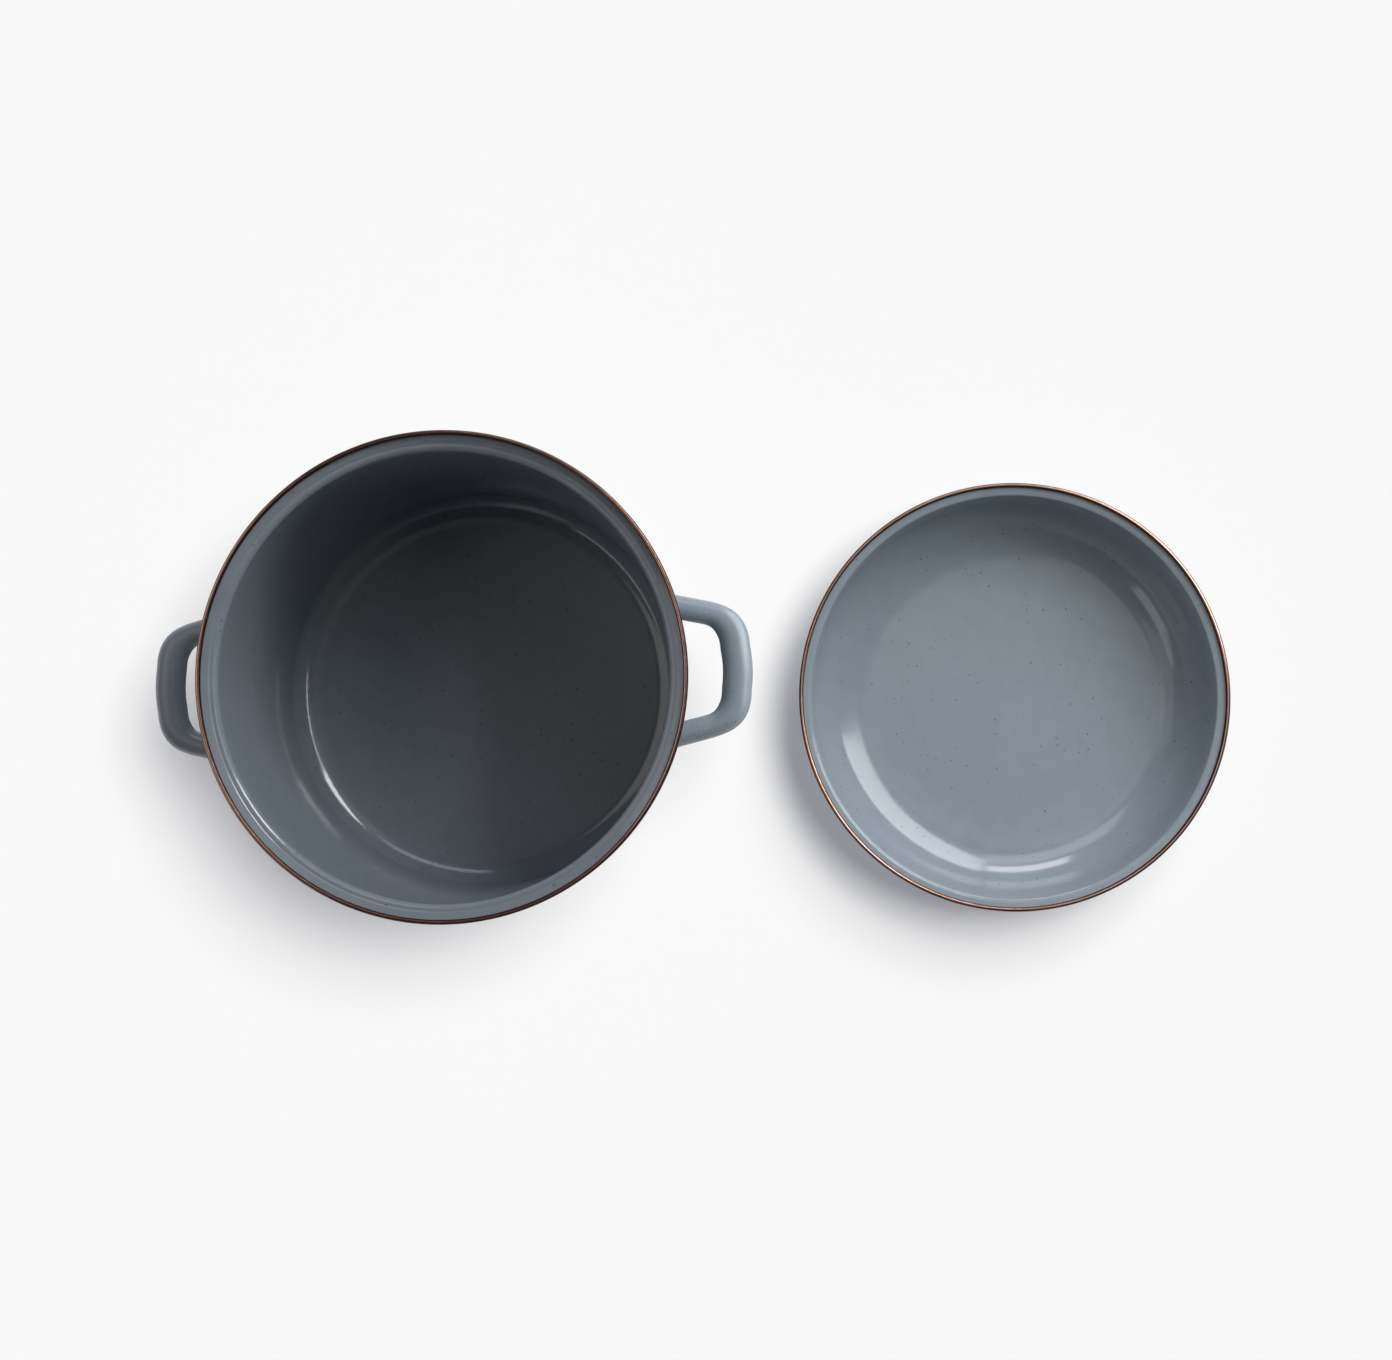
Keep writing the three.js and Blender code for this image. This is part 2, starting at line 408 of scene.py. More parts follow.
@dataclass(frozen=True)
class EnamelFinish:
    """Slate vitreous enamel: softly mottled, speckled, glossy, with the ripple of fired glass."""

    name: str = "slate_enamel"
    deep: Colour = (0.188, 0.221, 0.246)
    middle: Colour = (0.203, 0.237, 0.263)
    pale: Colour = (0.219, 0.254, 0.281)
    speck: Colour = (0.085, 0.094, 0.102)
    scuffed: Colour = (0.150, 0.168, 0.182)
    large: Specks = Specks(scale=215.0, size=0.18, strength=0.75)
    small: Specks = Specks(scale=520.0, size=0.12, strength=0.30)
    cloud_scale: float = 16.0
    mottle_scale: float = 95.0
    peel_scale: float = 260.0
    grain_scale: float = 1500.0
    mottle_tone: float = 0.55
    grain_tone: float = 0.5
    scuff_gain: float = 1.2
    scuff_shift: float = -0.1
    gloss: float = 0.13
    uneven: float = 0.05
    speck_matt: float = 0.12
    scuff_matt: float = 0.22
    ripple: float = 0.30
    grain_height: float = 0.10
    speck_height: float = -0.55
    relief: float = 0.00004

    def material(self) -> Material:
        """Makes the finish as a material.

        Returns:
            The material.
        """
        material = bpy.data.materials.new(self.name)
        material.use_nodes = True
        wire = Wiring(material.node_tree)
        where = wire.node("ShaderNodeTexCoord", {}).outputs["Object"]
        worn = wire.node("ShaderNodeAttribute", {}, attribute_name=WEAR_AND_SHADE).outputs["Fac"]
        clouds = wire.noise(where, self.cloud_scale, detail=3.0)
        mottle = wire.noise(where, self.mottle_scale, detail=3.0)
        grain = wire.noise(where, self.grain_scale, detail=2.0)
        peel = wire.noise(where, self.peel_scale, detail=1.0)
        large = wire.specks(where, self.large.scale, self.large.size)
        small = wire.specks(where, self.small.scale, self.small.size)
        tone = wire.sum("MULTIPLY", clouds, 1.0 - self.mottle_tone)
        tone = wire.sum("MULTIPLY_ADD", mottle, self.mottle_tone, tone)
        tone = wire.sum("SUBTRACT", tone, self.grain_tone / 2)
        tone = wire.sum("MULTIPLY_ADD", grain, self.grain_tone, tone)
        colour = wire.ramp(tone, ((0.25, self.deep), (0.5, self.middle), (0.75, self.pale)))
        dots = wire.sum("MULTIPLY", large, self.large.strength)
        dots = wire.sum("MULTIPLY_ADD", small, self.small.strength, dots, clamp=True)
        colour = wire.blend(dots, colour, (*self.speck, 1.0))
        scuffs = wire.sum("MULTIPLY_ADD", mottle, self.scuff_gain, self.scuff_shift)
        scuffs = wire.sum("MULTIPLY", worn, scuffs, clamp=True)
        colour = wire.blend(scuffs, colour, (*self.scuffed, 1.0))
        rough = wire.sum("MULTIPLY_ADD", clouds, self.uneven, self.gloss - self.uneven)
        rough = wire.sum("MULTIPLY_ADD", grain, self.uneven, rough)
        rough = wire.sum("MULTIPLY_ADD", dots, self.speck_matt, rough)
        rough = wire.sum("MULTIPLY_ADD", scuffs, self.scuff_matt, rough)
        skin = wire.sum("MULTIPLY_ADD", grain, self.grain_height, peel)
        skin = wire.sum("MULTIPLY_ADD", dots, self.speck_height, skin)
        bump = wire.node("ShaderNodeBump", {"Strength": self.ripple, "Distance": self.relief, "Height": skin})
        shader = wire.node(
            "ShaderNodeBsdfPrincipled",
            {"Base Color": colour, "Roughness": rough, "IOR": 1.5, "Normal": bump.outputs[0]},
        )
        wire.node("ShaderNodeOutputMaterial", {"Surface": shader.outputs[0]})
        return material


@dataclass(frozen=True)
class RimMetalFinish:
    """Copper-toned rim metal: drawn along the band and tarnished in patches, with painted shade darkening its
    edges.
    """

    name: str = "copper_rim_metal"
    mauve: Colour = (0.44, 0.285, 0.295)
    rosy: Colour = (0.51, 0.305, 0.27)
    copper: Colour = (0.52, 0.28, 0.175)
    bronze: Colour = (0.36, 0.240, 0.135)
    # Dark colour of the tarnish patches and of the painted shade at the band's edges.
    oxide_and_shade: Colour = (0.062, 0.034, 0.029)
    patch_scale: float = 34.0
    blotch_scale: float = 260.0
    line_scale: float = 5200.0
    line_stretch: float = 0.004
    patch_tint: float = 1.1
    line_tint: float = 0.25
    tint_shift: float = -0.17
    # How strongly painted shade darkens the band's edges.
    edge_painted_shade: float = 1.1
    blotch_stain: float = 0.7
    shade_and_tarnish_shift: float = -0.42
    gloss: float = 0.20
    line_matt: float = 0.16
    shade_and_tarnish_matt: float = 0.20
    scratch: float = 0.25
    blotch_height: float = 0.35
    relief: float = 0.00002

    def material(self) -> Material:
        """Makes the finish as a material.

        Returns:
            The material.
        """
        material = bpy.data.materials.new(self.name)
        material.use_nodes = True
        wire = Wiring(material.node_tree)
        where = wire.node("ShaderNodeTexCoord", {}).outputs["Object"]
        # The band's edge mark: how strongly painted shade darkens it there.
        edge = wire.node("ShaderNodeAttribute", {}, attribute_name=WEAR_AND_SHADE).outputs["Fac"]
        axes = wire.node("ShaderNodeSeparateXYZ", {0: where}).outputs
        along = wire.sum("MULTIPLY", wire.sum("ARCTAN2", axes[1], axes[0]), self.line_stretch)
        flat = wire.node("ShaderNodeVectorMath", {0: where, 1: (1.0, 1.0, 0.0)}, operation="MULTIPLY")
        radius = wire.node("ShaderNodeVectorMath", {0: flat.outputs[0]}, operation="LENGTH").outputs["Value"]
        drawn = wire.node("ShaderNodeCombineXYZ", {0: along, 1: radius, 2: axes[2]}).outputs[0]
        patches = wire.noise(where, self.patch_scale, detail=4.0)
        lines = wire.noise(drawn, self.line_scale, detail=3.0)
        blotch = wire.noise(where, self.blotch_scale, detail=3.0)
        tint = wire.sum("MULTIPLY_ADD", patches, self.patch_tint, self.tint_shift)
        tint = wire.sum("MULTIPLY_ADD", lines, self.line_tint, tint)
        metals = ((0.30, self.bronze), (0.44, self.copper), (0.58, self.rosy), (0.72, self.mauve))
        # Painted shade at the band's edges and tarnish blotches mix in the dark colour.
        shade_and_tarnish = wire.sum("MULTIPLY_ADD", edge, self.edge_painted_shade, self.shade_and_tarnish_shift)
        shade_and_tarnish = wire.sum("MULTIPLY_ADD", blotch, self.blotch_stain, shade_and_tarnish, clamp=True)
        colour = wire.blend(shade_and_tarnish, wire.ramp(tint, metals), (*self.oxide_and_shade, 1.0))
        rough = wire.sum("MULTIPLY_ADD", lines, self.line_matt, self.gloss - self.line_matt / 2)
        rough = wire.sum("MULTIPLY_ADD", shade_and_tarnish, self.shade_and_tarnish_matt, rough)
        height = wire.sum("MULTIPLY_ADD", blotch, self.blotch_height, lines)
        bump = wire.node(
            "ShaderNodeBump", {"Strength": self.scratch, "Distance": self.relief, "Height": height}
        )
        shader = wire.node(
            "ShaderNodeBsdfPrincipled",
            {"Base Color": colour, "Roughness": rough, "Metallic": 1.0, "Normal": bump.outputs[0]},
        )
        wire.node("ShaderNodeOutputMaterial", {"Surface": shader.outputs[0]})
        return material


def dress(piece: Piece, material: Material, body: Body, solid: str) -> Piece:
    """Gives a piece its finish and puts it in place of its solid.

    Args:
        piece: the piece, in its place.
        material: its finish.
        body: the body it rides on.
        solid: the solid that it stands for.

    Returns:
        The piece.
    """
    piece.data.materials.append(material)
    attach(piece, body.value)
    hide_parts(solid)
    LOG.info("%s: %d points, rides on %s", piece.name, len(piece.data.vertices), body.value)
    return piece


# Sub-assemblies


@dataclass
class RimBand:
    """Rolled metal channel that caps a turned-up edge, with painted shade on its edges that leaves its crown
    bright.
    """

    rim_radius: float
    top: float
    drop: float
    sheet: float
    metal: float = 0.35
    slack: float = 0.15
    # How far inwards the painted shade on the band's edges is centred, where it begins and where it is full,
    # as shares of its half-width.
    crown_shift: float = 0.06
    unshaded_within: float = 0.24
    painted_shade_beyond: float = 0.56
    steps: int = 256
    crown_steps: int = 28
    hem_steps: int = 8

    @property
    def radius(self) -> float:
        """Half the band's width."""
        return self.sheet / 2 + self.slack + self.metal

    @property
    def middle(self) -> Point:
        """Centre of the band's round top."""
        return (self.rim_radius - self.radius, self.top - self.radius)

    @property
    def edge_top(self) -> float:
        """Top of the turned-up edge inside the band."""
        half = self.sheet / 2 + self.slack
        return self.middle[1] + math.sqrt(self.radius**2 - half**2) - self.metal - self.slack

    @property
    def edge(self) -> List[Point]:
        """The corners of the turned-up edge's top, the outer one first."""
        half = self.sheet / 2
        return [(self.middle[0] + half, self.edge_top), (self.middle[0] - half, self.edge_top)]

    @property
    def seat(self) -> Point:
        """Where the lip starts, at the foot of the turned-up edge."""
        return (self.middle[0] - self.sheet / 2, self.top - self.drop)

    def outline(self) -> List[Point]:
        """The channel's closed outline.

        Returns:
            Its points, with rounded feet.
        """
        middle = self.middle[0]
        half = self.sheet / 2 + self.slack
        hem = self.metal / 2
        inner_foot = self.top - self.drop + self.slack + hem
        outer_foot = self.top - self.drop - self.sheet + hem
        slot_top = self.edge_top + self.slack
        return strung(
            bend((middle + half + hem, outer_foot), hem, 180, 360, self.hem_steps),
            bend(self.middle, self.radius, 0, 180, self.crown_steps),
            bend((middle - half - hem, inner_foot), hem, 180, 360, self.hem_steps),
            [(middle - half, slot_top), (middle + half, slot_top)],
        )

    def wear(self, point: Vector) -> float:
        """How strongly painted shade darkens a point, by how near it is to the band's edges."""
        across = (math.hypot(point.x, point.y) - self.middle[0]) / self.radius
        return ease(abs(across + self.crown_shift), self.unshaded_within, self.painted_shade_beyond)

    def build(self, name: str) -> Piece:
        """Turns the band and marks the painted shade on its edges.

        Args:
            name: the piece's name.

        Returns:
            The band, centred on the Z axis.
        """
        band = turned(name, self.outline(), self.steps, loop=True)
        mark_wear_and_shade(band, self.wear)
        return band


@dataclass(frozen=True)
class FlaredLip:
    """Lip that slopes inwards from the rim band, over a bead and a shallow dip, and rolls into the wall."""

    tilt: float
    run: float
    bead_radius: float
    bead_end: float
    dip_radius: float
    dip_exit: float
    roll_radius: float = 1.0
    roll_end: float = 90.0
    start: Point = (0.0, 0.0)
    run_steps: int = 5
    bead_steps: int = 8
    dip_steps: int = 10
    roll_steps: int = 18
    under_dip_steps: int = 8
    under_roll_steps: int = 12

    @property
    def bead(self) -> Point:
        """Centre of the bead where the slope steepens.

        Returns:
            Its place.
        """
        tilt = math.radians(self.tilt)
        foot = (self.start[0] - self.run, self.start[1] - self.run * math.tan(tilt))
        return (foot[0] + self.bead_radius * math.sin(tilt), foot[1] - self.bead_radius * math.cos(tilt))

    @property
    def dip(self) -> Point:
        """Centre of the bend that levels the slope."""
        turn, reach = math.radians(self.bead_end), self.bead_radius + self.dip_radius
        return (self.bead[0] - reach * math.sin(turn), self.bead[1] + reach * math.cos(turn))

    @property
    def roll(self) -> Point:
        """Centre of the bend over into the wall."""
        leave, reach = math.radians(self.dip_exit), self.dip_radius + self.roll_radius
        return (self.dip[0] + reach * math.sin(leave), self.dip[1] - reach * math.cos(leave))

    def rolled_to(self, wall: float) -> "FlaredLip":
        """The same lip with the roll that brings it to an upright wall.

        Args:
            wall: inside radius of the wall.

        Returns:
            The lip.
        """
        sine = math.sin(math.radians(self.dip_exit))
        level = self.dip[0] + self.dip_radius * sine
        return replace(self, roll_radius=(level - wall) / (1 - sine))

    def inside(self) -> List[Point]:
        """The seen face, from the band inwards to the wall.

        Returns:
            Its points.
        """
        bead = bend(self.bead, self.bead_radius, 90 + self.tilt, 90 + self.bead_end, self.bead_steps)
        return strung(
            straight(self.start, bead[0], self.run_steps),
            bead,
            bend(self.dip, self.dip_radius, self.bead_end - 90, self.dip_exit - 90, self.dip_steps),
            bend(self.roll, self.roll_radius, 90 + self.dip_exit, 90 + self.roll_end, self.roll_steps),
        )

    def underside(self, sheet: float, edge: float) -> List[Point]:
        """The face below, from the wall outwards to the turned-up edge.

        Args:
            sheet: the sheet's thickness.
            edge: outside radius of the turned-up edge.

        Returns:
            Its points.
        """
        leave, end = 90 + self.dip_exit, 90 + self.roll_end
        level, slope = self.dip_exit - 90, self.tilt - 90
        rise = bend(self.dip, self.dip_radius + sheet, level, slope, self.under_dip_steps)
        height = rise[-1][1] + (edge - rise[-1][0]) * math.tan(math.radians(self.tilt))
        return strung(
            bend(self.roll, self.roll_radius - sheet, end, leave, self.under_roll_steps),
            rise,
            [(edge, height)],
        )


@dataclass
class Pot:
    """Drawn steel pot with a stepped lip, a lid seat and a rim band."""

    sheet: float = 1.5
    rim_radius: float = 130.0
    height: float = 165.0
    lip_width: float = 10.2
    cove_radius: float = 21.0
    cove_sweep: float = 40.0
    heel_radius: float = 9.2
    seat_drop: float = 2.4
    lip_form: FlaredLip = FlaredLip(
        tilt=24.0, run=3.8, bead_radius=1.2, bead_end=40.0, dip_radius=1.6, dip_exit=4.0
    )
    base_hollow: float = 0.5
    base_ring: float = 11.0
    base_slope: Tuple[Point, ...] = ((-3.0, 1.0), (-1.6, 0.85), (-0.4, 0.15), (0.8, 0.0))
    base_hub: float = 20.0
    floor_hub: float = 12.0
    rub_full: float = 0.05
    rub_none: float = 1.2
    steps: int = 240
    base_steps: int = 3
    outside_steps: int = 12
    inside_steps: int = 14
    floor_steps: int = 6

    def band(self) -> RimBand:
        """The band on the pot's rim."""
        return RimBand(self.rim_radius, self.height, self.seat_drop, self.sheet)

    @property
    def mouth(self) -> float:
        """Inside radius of the wall."""
        return self.rim_radius - self.lip_width

    @property
    def floor_radius(self) -> float:
        """Radius of the flat of the floor."""
        sine = math.sin(math.radians(self.cove_sweep))
        return self.mouth - self.heel_radius * (1 - sine) - self.cove_radius * sine

    @property
    def cove(self) -> Point:
        """Centre of the wide bend out of the floor."""
        return (self.floor_radius, self.sheet + self.cove_radius)

    @property
    def heel(self) -> Point:
        """Centre of the tight bend into the wall."""
        cosine = math.cos(math.radians(self.cove_sweep))
        return (self.mouth - self.heel_radius, self.cove[1] - (self.cove_radius - self.heel_radius) * cosine)

    def lip(self) -> FlaredLip:
        """The lip, from the band's seat to the top of the wall."""
        return replace(self.lip_form, start=self.band().seat).rolled_to(self.mouth)

    def base(self) -> List[Point]:
        """The underside: a shallow hollow inside the flat ring that the pot stands on.

        Returns:
            Its points, from the middle outwards.
        """
        ring = self.floor_radius - self.base_ring
        slope = [(ring + out, self.base_hollow * share) for out, share in self.base_slope]
        return strung(
            [(0.0, self.base_hollow)],
            straight((self.base_hub, self.base_hollow), slope[0], self.base_steps),
            slope,
            straight(slope[-1], (self.floor_radius, 0.0), self.base_steps),
        )

    def outline(self) -> List[Point]:
        """The shell's outline, from the middle of the base round the rim to the middle of the floor.

        Returns:
            Its points.
        """
        wall = self.mouth + self.sheet
        turn = self.cove_sweep - 90
        lip, edge = self.lip(), self.band().edge
        inside = lip.inside()
        return strung(
            self.base(),
            bend(self.cove, self.cove_radius + self.sheet, -90, turn, self.outside_steps),
            bend(self.heel, self.heel_radius + self.sheet, turn, 0, self.outside_steps),
            straight((wall, self.heel[1]), (wall, lip.roll[1]), self.outside_steps),
            lip.underside(self.sheet, edge[0][0]),
            edge,
            inside,
            straight(inside[-1], (self.mouth, self.heel[1]), self.inside_steps),
            bend(self.heel, self.heel_radius, 0, turn, self.inside_steps),
            bend(self.cove, self.cove_radius, turn, -90, self.inside_steps),
            straight((self.floor_radius, self.sheet), (self.floor_hub, self.sheet), self.floor_steps),
            [(0.0, self.sheet)],
        )

    def wear(self, point: Vector) -> float:
        """How rubbed the shell is: on the ring it stands on and along the bend above it."""
        on_ring = math.hypot(point.x, point.y) > self.floor_radius - self.base_ring
        return 1.0 - ease(point.z, self.rub_full, self.rub_none) if on_ring else 0.0

    def build(self, enamel: Material, metal: Material) -> List[Piece]:
        """Makes and dresses the shell and its band.

        Args:
            enamel: the shell's finish.
            metal: the band's finish.

        Returns:
            The pieces.
        """
        shell = turned("stockpot_shell", self.outline(), self.steps, loop=False)
        mark_wear_and_shade(shell, self.wear)
        band = self.band().build("stockpot_rim")
        return [
            dress(shell, enamel, Body.POT, "pot_shell"),
            dress(band, metal, Body.POT, "pot_rim_band"),
        ]


@dataclass
class BowHandle:
    """Hollow pressed bow handle, its two feet and the welds between them."""

    pot: Pot
    side: Side
    height: float = 127.0
    standoff: float = 34.5
    grip_width: float = 16.3
    grip_thickness: float = 11.5
    grip_bow: float = 1.0
    leg_width: float = 13.0
    leg_thickness: float = 11.0
    leg_spread: float = 33.2
    leg_splay: float = 13.0
    leg_start: float = 4.6
    leg_sink: float = 0.4
    swell_from: float = 0.25
    swell_to: float = 0.95
    elbow: float = 16.0
    vent_radius: float = 1.5
    vent_depth: float = 3.0
    vent_lead: float = 2.0
    foot_thickness: float = 1.6
    foot_margin: float = 4.5
    foot_edge: float = 0.7
    foot_sink: float = 0.1
    weld_gap: float = 0.3
    weld_radius: float = 2.6
    weld_sink: float = 0.06
    rub: float = 0.35
    rub_across: float = 6.0
    rub_from: float = 3.0
    sides: int = 48
    leg_steps: int = 14
    elbow_steps: int = 36
    grip_steps: int = 30
    evenings: int = 6
    vent_sides: int = 28
    weld_steps: int = 10
    edge_steps: int = 6

    @property
    def wall(self) -> float:
        """Outside radius of the pot's wall."""
        return self.pot.mouth + self.pot.sheet

    @property
    def reach(self) -> float:
        """Distance from the pot's axis to the middle of the grip."""
        return self.wall + self.standoff

    @property
    def foot_face(self) -> float:
        """Radius of a foot's outer face."""
        return self.wall + self.weld_gap + self.foot_thickness

    def leg(self, end: int) -> Tuple[Vector, Vector]:
        """The middle line of a leg.

        Args:
            end: 1 for the leg at +Y, -1 for the other, on a handle that points along +X.

        Returns:
            The point where it passes the rim's outside, and the direction away from the pot.
        """
        splay = math.radians(self.leg_splay)
        point = Vector((self.pot.rim_radius, end * self.leg_spread, self.height))
        return point, Vector((math.cos(splay), -end * math.sin(splay), 0.0))

    def on_wall(self, end: int, across: float, up: float, radius: float) -> Vector:
        """Where a line beside a leg meets an upright cylinder about the pot's axis.

        Args:
            end: which leg, 1 or -1.
            across: sideways distance from the leg's middle line.
            up: height above the middle line.
            radius: the cylinder's radius.

        Returns:
            The point.
        """
        point, away = self.leg(end)
        start = point + Vector((-away.y, away.x, 0.0)) * across + Vector((0.0, 0.0, up))
        along = start.x * away.x + start.y * away.y
        rest = start.x**2 + start.y**2 - radius**2
        return start + away * (math.sqrt(along**2 - rest) - along)

    def middle_line(self) -> List[Vector]:
        """The handle's middle line from one foot to the other, evened out.

        Returns:
            Points about 0.8 mm apart.
        """
        corner_x = self.reach - self.grip_bow
        corners, roots, legs, grips = {}, {}, {}, {}
        for end in (1, -1):
            point, away = self.leg(end)
            corners[end] = point + away * ((corner_x - point.x) / away.x)
            roots[end] = self.on_wall(end, 0.0, 0.0, self.foot_face + self.leg_start)
            legs[end] = corners[end] - away * self.elbow
            grips[end] = corners[end] - Vector((0.0, end * self.elbow, 0.0))
        nose = Vector((self.reach + self.grip_bow, 0.0, self.height))
        stretches = (
            (roots[1], (roots[1] + legs[1]) / 2, legs[1], self.leg_steps),
            (legs[1], corners[1], grips[1], self.elbow_steps),
            (grips[1], nose, grips[-1], self.grip_steps),
            (grips[-1], corners[-1], legs[-1], self.elbow_steps),
            (legs[-1], (roots[-1] + legs[-1]) / 2, roots[-1], self.leg_steps),
        )
        line: List[Vector] = []
        for start, pull, stop, steps in stretches:
            for share in (i / steps for i in range(steps)):
                rest = 1 - share
                line.append(start * rest**2 + pull * (2 * share * rest) + stop * share**2)
        line.append(roots[-1])
        for _ in range(self.evenings):
            inner = [(a + b * 2 + c) / 4 for a, b, c in zip(line, line[1:], line[2:])]
            line = [line[0]] + inner + [line[-1]]
        return line

    def section(self, middle: Vector, along: Vector) -> Ring:
        """The handle's section at a point of its middle line.

        Args:
            middle: the point.
            along: the line's direction there.

        Returns:
            A ring of points.
        """
        on_grip = ease(abs(along.y), self.swell_from, self.swell_to)
        half_width = (self.leg_width + (self.grip_width - self.leg_width) * on_grip) / 2
        half_height = (self.leg_thickness + (self.grip_thickness - self.leg_thickness) * on_grip) / 2
        sideways = Vector((along.y, -along.x, 0.0))
        ring = oval(half_width, half_height, self.sides)
        return [middle + sideways * across + Vector((0.0, 0.0, up)) for across, up in ring]

    def tube(self) -> List[Ring]:
        """The handle's skin as rings, with its two ends cut to the feet.

        Returns:
            The rings from the +Y foot to the other.
        """
        line = self.middle_line()
        rings = []
        for i, middle in enumerate(line):
            along = (line[min(i + 1, len(line) - 1)] - line[max(i - 1, 0)]).normalized()
            rings.append(self.section(middle, along))
        seat = self.foot_face - self.leg_sink
        for end, ring in ((1, rings[0]), (-1, rings[-1])):
            cut = []
            point, away = self.leg(end)
            beside = Vector((-away.y, away.x, 0.0))
            for spot in ring:
                cut.append(self.on_wall(end, (spot - point).dot(beside), spot.z - self.height, seat))
            rings.insert(0 if end == 1 else len(rings), cut)
        return rings

    def cut_vent(self, handle: Piece) -> None:
        """Sinks the vent hole into the underside of the grip.

        Args:
            handle: the handle, still pointing along +X.
        """
        below = self.height - self.grip_thickness / 2
        hole = oval(self.vent_radius, self.vent_radius, self.vent_sides)
        ends = (below - self.vent_lead, below + self.vent_depth)
        drill = skinned("vent_drill", [[Vector((self.reach + x, y, z)) for x, y in hole] for z in ends])
        cut = handle.modifiers.new("vent", "BOOLEAN")
        cut.operation, cut.solver, cut.object = "DIFFERENCE", "EXACT", drill
        bpy.context.view_layer.update()
        graph = bpy.context.evaluated_depsgraph_get()
        drilled = bpy.data.meshes.new_from_object(handle.evaluated_get(graph))
        handle.modifiers.clear()
        plain, handle.data = handle.data, drilled
        handle.data.name = handle.name
        bpy.data.objects.remove(drill)
        bpy.data.meshes.remove(plain)
        smooth(handle.data)

    def foot_rings(self, end: int) -> List[Ring]:
        """A foot with its weld: the weld's roll on the leg, the foot's face and its rounded edge.

        Args:
            end: which leg, 1 or -1.

        Returns:
            Rings from the weld's top on the leg to the wall.
        """
        weld, edge, face = self.weld_radius, self.foot_edge, self.foot_face
        profile = strung(
            bend((weld - self.weld_sink, face + weld), weld, 180, 270, self.weld_steps),
            bend((self.foot_margin - edge, face - edge), edge, 90, 0, self.edge_steps),
            [(self.foot_margin, self.wall - self.foot_sink)],
        )
        rings = []
        for out, radius in profile:
            ring = oval(self.leg_width / 2 + out, self.leg_thickness / 2 + out, self.sides)
            rings.append([self.on_wall(end, across, up, radius) for across, up in ring])
        return rings

    def wear(self, point: Vector) -> float:
        """How rubbed the handle is: along the top of the grip, where hands and cloths go."""
        out = ease(abs(point.x), self.reach - self.rub_across, self.reach)
        return self.rub * out * ease(point.z - self.height, self.rub_from, self.grip_thickness / 2)

    def build(self, enamel: Material) -> List[Piece]:
        """Makes and dresses the handle and its feet.

        Args:
            enamel: their finish.

        Returns:
            The pieces.
        """
        word = self.side.word
        handle = skinned(f"{word}_bow_handle", self.tube())
        self.cut_vent(handle)
        pieces = [(handle, f"{word}_handle")]
        for number, end in ((1, 1), (2, -1)):
            foot = skinned(f"{word}_welded_foot_{number}", self.foot_rings(end))
            pieces.append((foot, f"{word}_handle_foot_{number}"))
        for piece, _ in pieces:
            if self.side is Side.LEFT:
                for vertex in piece.data.vertices:
                    vertex.co.x, vertex.co.y = -vertex.co.x, -vertex.co.y
            mark_wear_and_shade(piece, self.wear)
        return [dress(piece, enamel, Body.POT, solid) for piece, solid in pieces]


